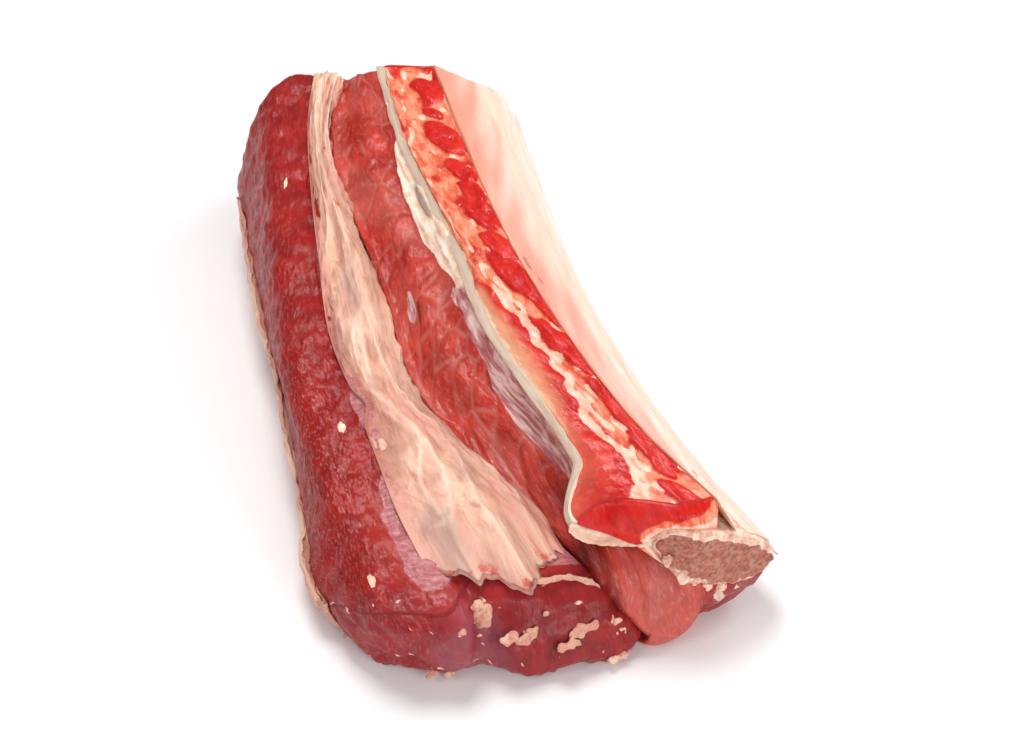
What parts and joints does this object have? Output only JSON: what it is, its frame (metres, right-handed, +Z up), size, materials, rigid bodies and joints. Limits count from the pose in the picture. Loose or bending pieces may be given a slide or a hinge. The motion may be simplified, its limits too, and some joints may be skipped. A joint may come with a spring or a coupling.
{
  "type": "raw beef short rib",
  "caption": "Raw beef short rib cut between the bones: a bowed rib bone under its membrane, with rib muscle, inner and outer muscles and a fat sheet, resting on its meat.",
  "frame": {"origin": "middle of the rib's footprint, on the surface that it rests on", "axes": "+Z up, +Y along the bone from the thick near end to the far end, +X towards the bone side"},
  "size_m": [0.1456, 0.2344, 0.0584],
  "materials": {
    "outer_meat": "wet cut meat, dark red",
    "inner_meat": "wet cut meat, mid red",
    "rib_meat": "wet cut meat, bright red",
    "fat": "satin cream fat",
    "skin": "satin moist membrane",
    "bone": "sawn bone"
  },
  "bodies": {
    "root": {"outer_muscle": "outer_meat", "inner_muscle": "inner_meat", "rib_muscle": "rib_meat", "hidden_rib_muscle": "rib_meat", "fat_seam": "fat", "fat_cap": "fat", "fascia": "skin", "membrane": "skin", "bone": "bone"}
  },
  "joints": []
}
